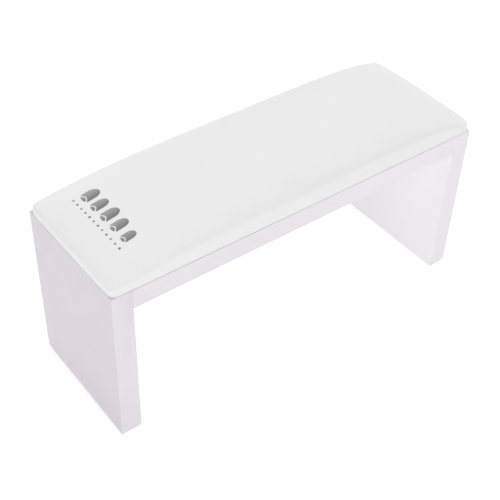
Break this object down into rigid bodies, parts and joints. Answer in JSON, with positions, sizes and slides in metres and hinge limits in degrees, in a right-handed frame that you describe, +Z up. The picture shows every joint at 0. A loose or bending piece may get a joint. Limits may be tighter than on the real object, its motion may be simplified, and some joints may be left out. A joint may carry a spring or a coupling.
{
  "type": "manicure armrest",
  "caption": "Low white bridge-shaped armrest for manicure work: two board legs and a top board carry a long crowned pad in smooth leatherette.",
  "frame": {"origin": "on the table, at the middle of the footprint", "axes": "+Z up; +X along the armrest, from the left leg, whose end of the pad bears the print, to the right leg; +Y across it, from the front edge to the back edge"},
  "size_m": [0.36, 0.12, 0.1773],
  "materials": {
    "lacquered_board": "MDF in smooth satin lacquer, white with a faint lilac tint",
    "leatherette": "smooth white leatherette, fine-grained and softly matt",
    "beech": "plain fluted beech",
    "hardboard": "bare brown hardboard",
    "foam": "open-cell upholstery foam, cream",
    "mounting_tape": "double-sided acrylic foam tape, pale grey",
    "staple_wire": "galvanised wire",
    "felt": "pressed pale grey felt"
  },
  "bodies": {
    "root": {"left_leg_panel": "lacquered_board", "right_leg_panel": "lacquered_board", "top_panel": "lacquered_board", "dowel_left_1": "beech", "dowel_left_2": "beech", "dowel_left_3": "beech", "dowel_right_1": "beech", "dowel_right_2": "beech", "dowel_right_3": "beech", "pad_base_board": "hardboard", "pad_foam": "foam", "pad_cover": "leatherette", "pad_tape_front": "mounting_tape", "pad_tape_back": "mounting_tape", "staple_front_1": "staple_wire", "staple_front_2": "staple_wire", "staple_front_3": "staple_wire", "staple_front_4": "staple_wire", "staple_front_5": "staple_wire", "staple_front_6": "staple_wire", "staple_front_7": "staple_wire", "staple_back_1": "staple_wire", "staple_back_2": "staple_wire", "staple_back_3": "staple_wire", "staple_back_4": "staple_wire", "staple_back_5": "staple_wire", "staple_back_6": "staple_wire", "staple_back_7": "staple_wire", "staple_left_1": "staple_wire", "staple_left_2": "staple_wire", "staple_right_1": "staple_wire", "staple_right_2": "staple_wire", "foot_left_front": "felt", "foot_left_back": "felt", "foot_right_front": "felt", "foot_right_back": "felt"}
  },
  "joints": []
}
